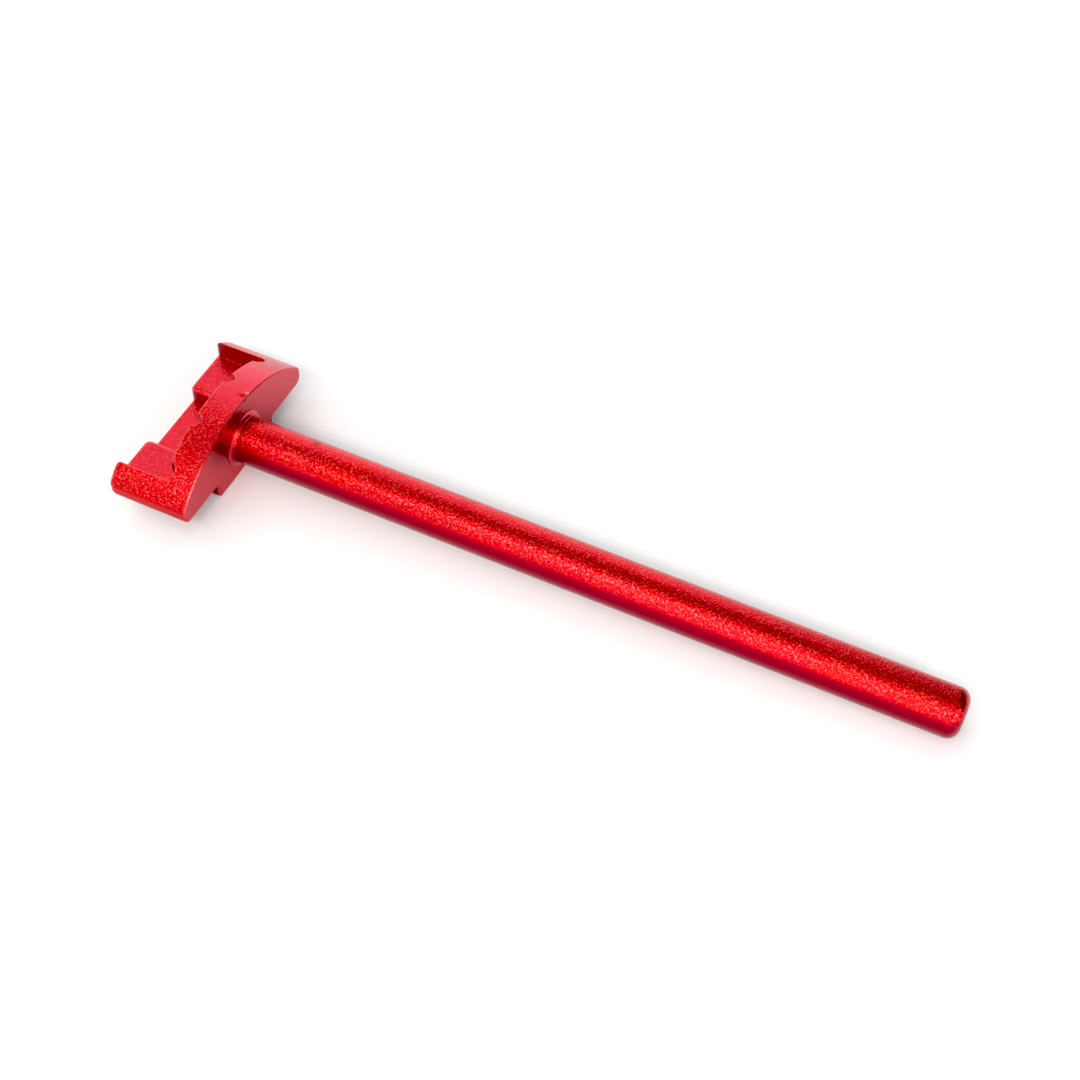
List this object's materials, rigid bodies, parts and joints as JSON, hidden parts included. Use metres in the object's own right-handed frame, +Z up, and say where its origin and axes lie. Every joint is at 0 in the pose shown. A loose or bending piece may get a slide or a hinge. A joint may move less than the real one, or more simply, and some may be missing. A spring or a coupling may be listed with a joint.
{
  "type": "aircraft tow bar",
  "caption": "Compact T-shaped aircraft tow bar: a round rod with a rounded tail, screwed into a D-section cross head with a stepped trough between end lugs, red anodised.",
  "frame": {"origin": "under the middle of the bar, on the plane of the keel's flat underside", "axes": "+X along the rod from the head to the tail, +Y across the head, +Z up from the keel to the crown"},
  "size_m": [0.136, 0.036, 0.0138],
  "materials": {
    "head_red": "bead-blasted, bright red anodised",
    "rod_red": "bead-blasted, bright red anodised",
    "collar_red": "bead-blasted, bright red anodised",
    "screw_steel": "plain stainless steel"
  },
  "bodies": {
    "root": {"head": "head_red", "rod": "rod_red", "root_collar": "collar_red", "head_screw": "screw_steel", "lock_screw": "screw_steel"}
  },
  "joints": []
}
